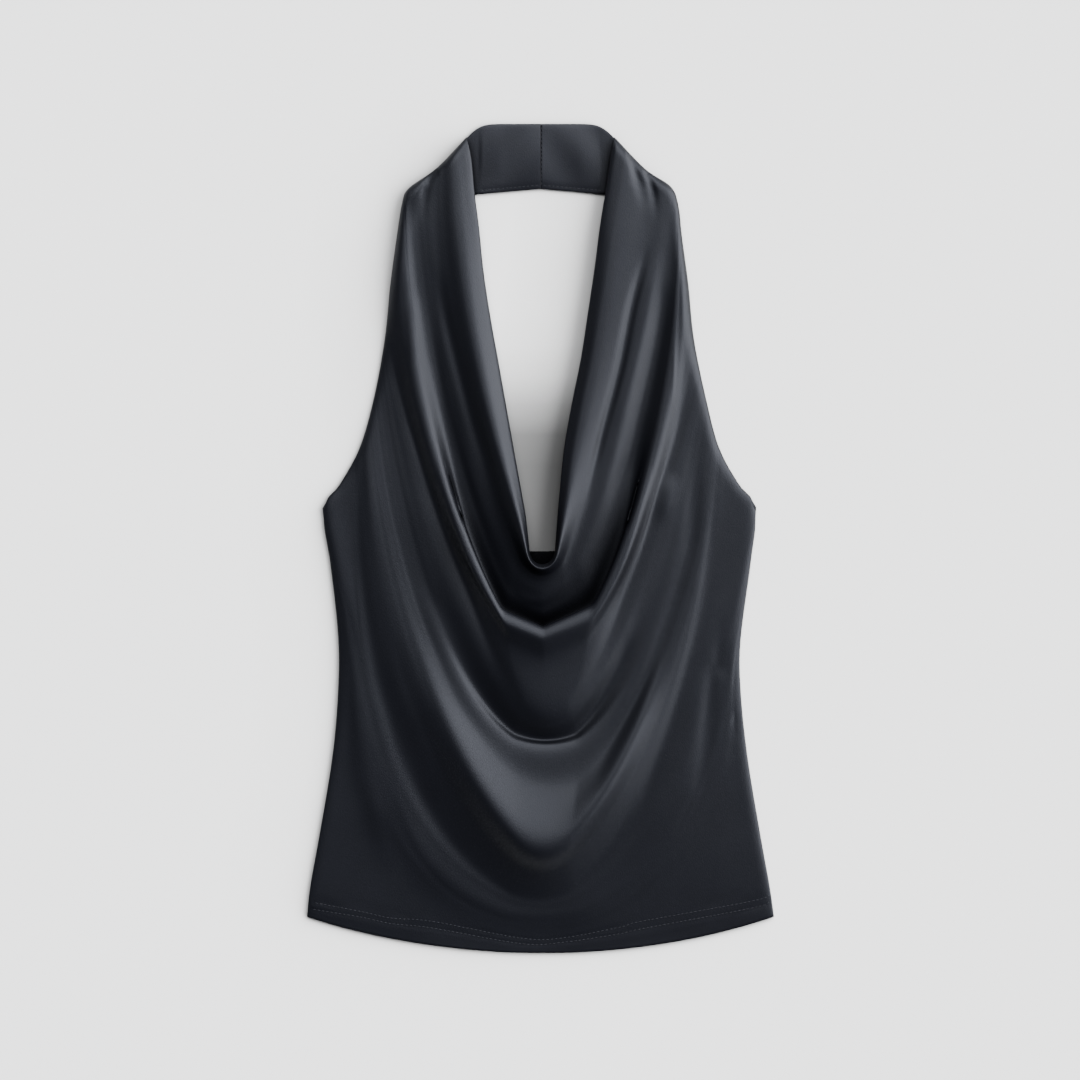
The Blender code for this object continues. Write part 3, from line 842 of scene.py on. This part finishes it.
def add_band(name, side, material, node):
    """Half of the neck band: closed rings from the centre back seam to under the strap."""
    near = np.linspace(SEAM_START, SEAM_REACH, SEAM_COLUMNS)
    stations = np.concatenate([near, np.linspace(SEAM_REACH, BAND_END, BAND_COLUMNS)[1:]])
    rings = [band_ring(x, side, 1.0 + side) for x in stations]
    count = len(rings[0])
    faces = []
    for r in range(len(rings) - 1):
        for k in range(count):
            a, b = r * count + k, r * count + (k + 1) % count
            faces.append((a, b, b + count, a + count)[:: int(side)])
    last = (len(rings) - 1) * count
    faces.append(tuple(range(count))[:: -int(side)])
    faces.append(tuple(range(last, last + count))[:: int(side)])
    points = [tuple(value * MM for value in point) for ring in rings for point in ring]
    mesh = bpy.data.meshes.new(name)
    mesh.from_pydata(points, [], faces)
    layer = mesh.uv_layers.new(name="cloth")
    for loop in mesh.loops:
        point = mesh.vertices[loop.vertex_index].co
        layer.data[loop.index].uv = (point.x, point.y)
    mesh.shade_smooth()
    return add_object(name, mesh, material, node + "_satin", node)


def stitch_mesh(name, places):
    """One mesh of small rounded stitches. Each place is a middle point, a direction and a normal."""
    points, faces = [], []
    around = STITCH_SIDES
    for middle, direction, normal, length in places:
        sideways = direction.cross(normal).normalized()
        start = len(points)
        points.append(middle - direction * length / 2)
        for at, width in STITCH_PROFILE[1:-1]:
            for k in range(around):
                angle = 2 * np.pi * k / around
                out = sideways * np.cos(angle) + normal * np.sin(angle)
                lift = normal * (STITCH_ARCH * (1 - at * at))
                points.append(
                    middle + direction * at * length / 2 + (out * width + lift) * STITCH_RADIUS
                )
        points.append(middle + direction * length / 2)
        rings = len(STITCH_PROFILE) - 2
        for k in range(around):
            n = (k + 1) % around
            faces.append((start, start + 1 + n, start + 1 + k))
            for ring in range(rings - 1):
                a = start + 1 + ring * around
                faces.append((a + k, a + n, a + around + n, a + around + k))
            a = start + 1 + (rings - 1) * around
            faces.append((a + k, a + n, start + 1 + rings * around))
    mesh = bpy.data.meshes.new(name)
    mesh.from_pydata([tuple(p * MM) for p in points], [], faces)
    mesh.shade_smooth()
    return mesh


def stitches_along(line, tree, sink=0.0):
    """Places of stitches along a plan line, laid on the cloth's surface."""
    along = lengths_along(line)
    rng = np.random.default_rng(SEED)
    places = []
    at = STITCH_START
    while at < along[-1] - STITCH_START:
        length = STITCH_LENGTH * rng.uniform(*STITCH_LENGTHS)
        ends = []
        for s in (at, at + length):
            x, y = (np.interp(s, along, line[:, k]) for k in (0, 1))
            above = Vector((x, y, CAST_FROM)) * MM
            hit, normal, _, _ = tree.ray_cast(above, Vector((0, 0, -1)))
            ends.append((hit, normal))
        at += length + STITCH_GAP * rng.uniform(*STITCH_GAPS)
        if ends[0][0] is None or ends[1][0] is None:
            continue
        a, b = (end[0] / MM for end in ends)
        normal = (ends[0][1] + ends[1][1]).normalized()
        middle = (a + b) / 2 + normal * (STITCH_RADIUS * STITCH_OUT - sink)
        places.append((middle, (b - a).normalized(), normal, (b - a).length))
    return places


def tree_of(obj):
    graph = bpy.context.evaluated_depsgraph_get()
    return BVHTree.FromObject(obj, graph)


def satin(name, colour):
    """Dark satin: a fine weave, soft sheen, a slow change of gloss over the cloth, and shade painted into
    its colour and gloss between the folds.
    """
    material = bpy.data.materials.new(name)
    material.use_nodes = True
    nodes, links = material.node_tree.nodes, material.node_tree.links
    shader = nodes["Principled BSDF"]
    shader.inputs["Specular Tint"].default_value = (0.84, 0.88, 1.0, 1)

    place = nodes.new("ShaderNodeTexCoord")
    slow = nodes.new("ShaderNodeTexNoise")
    slow.inputs["Scale"].default_value = 14
    slow.inputs["Detail"].default_value = 3
    links.new(place.outputs["Object"], slow.inputs["Vector"])

    tint = nodes.new("ShaderNodeMix")
    tint.data_type = "RGBA"
    tint.inputs[6].default_value = (*[value * 0.86 for value in colour], 1)
    tint.inputs[7].default_value = (*[value * 1.16 for value in colour], 1)
    links.new(slow.outputs["Fac"], tint.inputs[0])

    # Painted shade: colour and gloss are darkened between the folds, where other cloth stands close
    painted_shade_nook = nodes.new("ShaderNodeAmbientOcclusion")
    painted_shade_nook.samples = SATIN_PAINTED_SHADE_SAMPLES
    painted_shade_nook.inputs["Distance"].default_value = SATIN_PAINTED_SHADE_REACH
    depth = nodes.new("ShaderNodeMapRange")
    depth.inputs["From Min"].default_value = 0.40
    depth.inputs["From Max"].default_value = 0.97
    depth.inputs["To Min"].default_value = 0.12
    links.new(painted_shade_nook.outputs["AO"], depth.inputs["Value"])
    shade = nodes.new("ShaderNodeMix")
    shade.data_type = "RGBA"
    shade.blend_type = "MULTIPLY"
    shade.inputs[0].default_value = 1
    links.new(tint.outputs[2], shade.inputs[6])
    links.new(depth.outputs["Result"], shade.inputs[7])
    links.new(shade.outputs[2], shader.inputs["Base Color"])
    # The gloss takes the same painted shade as the colour
    gleam = nodes.new("ShaderNodeMath")
    gleam.operation = "MULTIPLY"
    gleam.inputs[1].default_value = SATIN_SHINE
    links.new(depth.outputs["Result"], gleam.inputs[0])
    links.new(gleam.outputs["Value"], shader.inputs["Specular IOR Level"])

    gloss = nodes.new("ShaderNodeMapRange")
    gloss.inputs["To Min"].default_value = SATIN_ROUGHNESS - 0.04
    gloss.inputs["To Max"].default_value = SATIN_ROUGHNESS + 0.05
    links.new(slow.outputs["Fac"], gloss.inputs["Value"])
    links.new(gloss.outputs["Result"], shader.inputs["Roughness"])

    # Warp and weft: two sets of fine threads, over an uneven grain
    cloth = nodes.new("ShaderNodeUVMap")
    cloth.uv_map = "cloth"
    threads = []
    for direction, scale in (("X", 520), ("Y", 300)):
        wave = nodes.new("ShaderNodeTexWave")
        wave.bands_direction = direction
        wave.inputs["Scale"].default_value = scale
        wave.inputs["Distortion"].default_value = 1.5
        wave.inputs["Detail"].default_value = 1
        wave.inputs["Detail Scale"].default_value = 2
        links.new(cloth.outputs["UV"], wave.inputs["Vector"])
        threads.append(wave)
    weave = nodes.new("ShaderNodeMath")
    weave.operation = "MULTIPLY"
    for k, wave in enumerate(threads):
        links.new(wave.outputs["Fac"], weave.inputs[k])
    drawn = nodes.new("ShaderNodeMapping")
    drawn.inputs["Scale"].default_value = (1.0, 0.5, 1.0)
    links.new(place.outputs["Object"], drawn.inputs["Vector"])
    grain = nodes.new("ShaderNodeTexNoise")
    grain.inputs["Scale"].default_value = 1400
    grain.inputs["Detail"].default_value = 2
    links.new(drawn.outputs["Vector"], grain.inputs["Vector"])
    uneven = nodes.new("ShaderNodeBump")
    uneven.inputs["Strength"].default_value = 0.8
    uneven.inputs["Distance"].default_value = 0.00016
    links.new(grain.outputs["Fac"], uneven.inputs["Height"])
    bump = nodes.new("ShaderNodeBump")
    bump.inputs["Strength"].default_value = 0.10
    bump.inputs["Distance"].default_value = 0.0001
    links.new(weave.outputs["Value"], bump.inputs["Height"])
    links.new(uneven.outputs["Normal"], bump.inputs["Normal"])
    links.new(bump.outputs["Normal"], shader.inputs["Normal"])
    return material


def thread_material():
    material = bpy.data.materials.new("thread")
    material.use_nodes = True
    nodes, links = material.node_tree.nodes, material.node_tree.links
    shader = nodes["Principled BSDF"]
    shader.inputs["Specular IOR Level"].default_value = 0.2
    shader.inputs["Roughness"].default_value = 0.5
    place = nodes.new("ShaderNodeTexCoord")
    noise = nodes.new("ShaderNodeTexNoise")
    noise.inputs["Scale"].default_value = 900
    links.new(place.outputs["Object"], noise.inputs["Vector"])
    ramp = nodes.new("ShaderNodeValToRGB")
    ramp.color_ramp.elements[0].color = (0.004, 0.004, 0.006, 1)
    ramp.color_ramp.elements[1].color = (0.016, 0.018, 0.025, 1)
    links.new(noise.outputs["Fac"], ramp.inputs["Fac"])
    links.new(ramp.outputs["Color"], shader.inputs["Base Color"])
    return material


def floor_material():
    material = bpy.data.materials.new("pale surface")
    material.use_nodes = True
    nodes, links = material.node_tree.nodes, material.node_tree.links
    shader = nodes["Principled BSDF"]
    shader.inputs["Roughness"].default_value = 0.85
    shader.inputs["Specular IOR Level"].default_value = 0.2
    place = nodes.new("ShaderNodeTexCoord")
    noise = nodes.new("ShaderNodeTexNoise")
    noise.inputs["Scale"].default_value = 2.2
    links.new(place.outputs["Object"], noise.inputs["Vector"])
    ramp = nodes.new("ShaderNodeValToRGB")
    ramp.color_ramp.elements[0].color = (0.735, 0.740, 0.745, 1)
    ramp.color_ramp.elements[1].color = (0.765, 0.768, 0.770, 1)
    links.new(noise.outputs["Fac"], ramp.inputs["Fac"])

    # Painted shadow: the surface is darkened left of the cloth, as the light from the right would shade it
    towards = nodes.new("ShaderNodeCombineXYZ")
    towards.inputs["X"].default_value = FLOOR_PAINTED_SHADOW_TOWARDS[0]
    towards.inputs["Z"].default_value = FLOOR_PAINTED_SHADOW_TOWARDS[1]
    painted_shade_nook = nodes.new("ShaderNodeAmbientOcclusion")
    painted_shade_nook.samples = FLOOR_PAINTED_SHADOW_SAMPLES
    painted_shade_nook.inputs["Distance"].default_value = FLOOR_PAINTED_SHADOW_REACH
    links.new(towards.outputs["Vector"], painted_shade_nook.inputs["Normal"])
    painted_shadow_beside = nodes.new("ShaderNodeMapRange")
    painted_shadow_beside.inputs["From Min"].default_value = 0.5
    painted_shadow_beside.inputs["To Min"].default_value = 0.4
    links.new(painted_shade_nook.outputs["AO"], painted_shadow_beside.inputs["Value"])

    # Painted shade: the surface is darker towards the foot of the neck opening, where cloth stands close
    # on both sides
    split = nodes.new("ShaderNodeSeparateXYZ")
    links.new(place.outputs["Object"], split.inputs["Vector"])
    level = nodes.new("ShaderNodeMapRange")
    level.inputs["From Min"].default_value = OPENING_FOOT
    level.inputs["From Max"].default_value = OPENING_LIGHT
    links.new(split.outputs["Y"], level.inputs["Value"])
    painted_opening_shade = nodes.new("ShaderNodeValToRGB")
    for at, value in OPENING_PAINTED_SHADE:
        stop = painted_opening_shade.color_ramp.elements.new(at)
        stop.color = (value, value, value, 1)
    painted_opening_shade.color_ramp.elements.remove(painted_opening_shade.color_ramp.elements[-1])
    painted_opening_shade.color_ramp.elements.remove(painted_opening_shade.color_ramp.elements[0])
    links.new(level.outputs["Result"], painted_opening_shade.inputs["Fac"])
    aside = nodes.new("ShaderNodeMath")
    aside.operation = "ABSOLUTE"
    links.new(split.outputs["X"], aside.inputs[0])
    outside = nodes.new("ShaderNodeMath")
    outside.operation = "GREATER_THAN"
    outside.inputs[1].default_value = OPENING_REACH
    links.new(aside.outputs["Value"], outside.inputs[0])
    opening = nodes.new("ShaderNodeMix")
    opening.data_type = "RGBA"
    opening.inputs[7].default_value = (1, 1, 1, 1)
    links.new(outside.outputs["Value"], opening.inputs[0])
    links.new(painted_opening_shade.outputs["Color"], opening.inputs[6])

    # The surface's colour is multiplied by the painted shade of the opening and the painted shadow beside
    # the cloth
    colour = ramp.outputs["Color"]
    for factor in (opening.outputs[2], painted_shadow_beside.outputs["Result"]):
        shade = nodes.new("ShaderNodeMix")
        shade.data_type = "RGBA"
        shade.blend_type = "MULTIPLY"
        shade.inputs[0].default_value = 1
        links.new(colour, shade.inputs[6])
        links.new(factor, shade.inputs[7])
        colour = shade.outputs[2]
    links.new(colour, shader.inputs["Base Color"])
    return material


def add_floor():
    size = FLOOR_HALF
    corners = [(-size, -size, 0), (size, -size, 0), (size, size, 0), (-size, size, 0)]
    mesh = bpy.data.meshes.new("floor")
    mesh.from_pydata(corners, [], [(0, 1, 2, 3)])
    mesh.materials.append(floor_material())
    floor = bpy.data.objects.new("floor", mesh)
    floor.location.z = -FLOOR_DROP
    bpy.context.scene.collection.objects.link(floor)


def add_sun(sun):
    """An even soft light."""
    light = bpy.data.lights.new(sun.name, "SUN")
    light.energy = sun.strength
    light.angle = np.radians(sun.spread)
    obj = bpy.data.objects.new(sun.name, light)
    a, e = np.radians(sun.azimuth), np.radians(sun.elevation)
    towards = Vector((np.cos(a) * np.cos(e), np.sin(a) * np.cos(e), np.sin(e)))
    obj.rotation_euler = towards.to_track_quat("Z", "Y").to_euler()
    obj.location = towards * 3
    bpy.context.scene.collection.objects.link(obj)


def studio_world():
    """Pale walls all round, and a dark ceiling."""
    world = bpy.data.worlds.new("studio")
    world.use_nodes = True
    nodes, links = world.node_tree.nodes, world.node_tree.links
    place = nodes.new("ShaderNodeTexCoord")
    split = nodes.new("ShaderNodeSeparateXYZ")
    ramp = nodes.new("ShaderNodeValToRGB")
    ramp.color_ramp.elements[0].position = 0.10
    ramp.color_ramp.elements[0].color = (1, 1, 1, 1)
    ramp.color_ramp.elements[1].position = 0.85
    ramp.color_ramp.elements[1].color = (0.10, 0.10, 0.11, 1)
    links.new(place.outputs["Generated"], split.inputs["Vector"])
    links.new(split.outputs["Z"], ramp.inputs["Fac"])
    links.new(ramp.outputs["Color"], nodes["Background"].inputs["Color"])
    nodes["Background"].inputs["Strength"].default_value = WORLD_STRENGTH
    bpy.context.scene.world = world


def add_lights():
    for sun in SUNS:
        add_sun(sun)
    studio_world()


def add_camera():
    camera = bpy.data.cameras.new("camera")
    camera.sensor_width = SENSOR_WIDTH
    camera.lens = camera.sensor_width * CAMERA_HEIGHT / FRAME_WIDTH
    obj = bpy.data.objects.new("camera", camera)
    obj.location = (*CAMERA_AT, CAMERA_HEIGHT)
    bpy.context.scene.collection.objects.link(obj)
    bpy.context.scene.camera = obj


def main():
    front_grid = front_surface()
    back_grid = back_surface()
    face = satin("satin face", FACE_COLOUR)
    inside = satin("satin back", FACE_COLOUR)
    band = satin("satin band", BAND_COLOUR)
    thread = thread_material()

    front = add_sheet("front", front_grid, face, "front_panel")
    back = add_sheet("back", back_grid, inside, "back_panel")
    left_band = add_band("band_left", -1.0, band, "neckband_left")
    right_band = add_band("band_right", 1.0, band, "neckband_right")

    tree = tree_of(front)
    places = [place for name in HEM_ROWS for place in stitches_along(hem_line(name), tree)]
    hem_stitches = add_object(
        "hem_stitches", stitch_mesh("hem_stitches", places), thread, "front_panel_satin"
    )

    for side, obj, node in ((-1, left_band, "neckband_left"), (1, right_band, "neckband_right")):
        x = np.linspace(BAND_STITCH_START, BAND_SHOWS + BAND_STITCH_PAST, BAND_STITCH_SAMPLES)
        line = np.stack([side * x, BAND_LOW - BAND_LOW_SLOPE * x + BAND_STITCH_IN], axis=1)
        places = stitches_along(line, tree_of(obj))
        if side > 0:
            ends = (BAND_TOP - SEAM_STITCH_IN, BAND_LOW + SEAM_STITCH_IN)
            seam = np.array([(SEAM_STITCH_AT, y) for y in ends])
            places += stitches_along(seam, tree_of(obj), sink=SEAM_STITCH_SINK)
        name = obj.name + "_stitches"
        stitches = add_object(name, stitch_mesh(name, places), thread, node + "_satin")

    add_floor()
    add_lights()
    add_camera()


main()
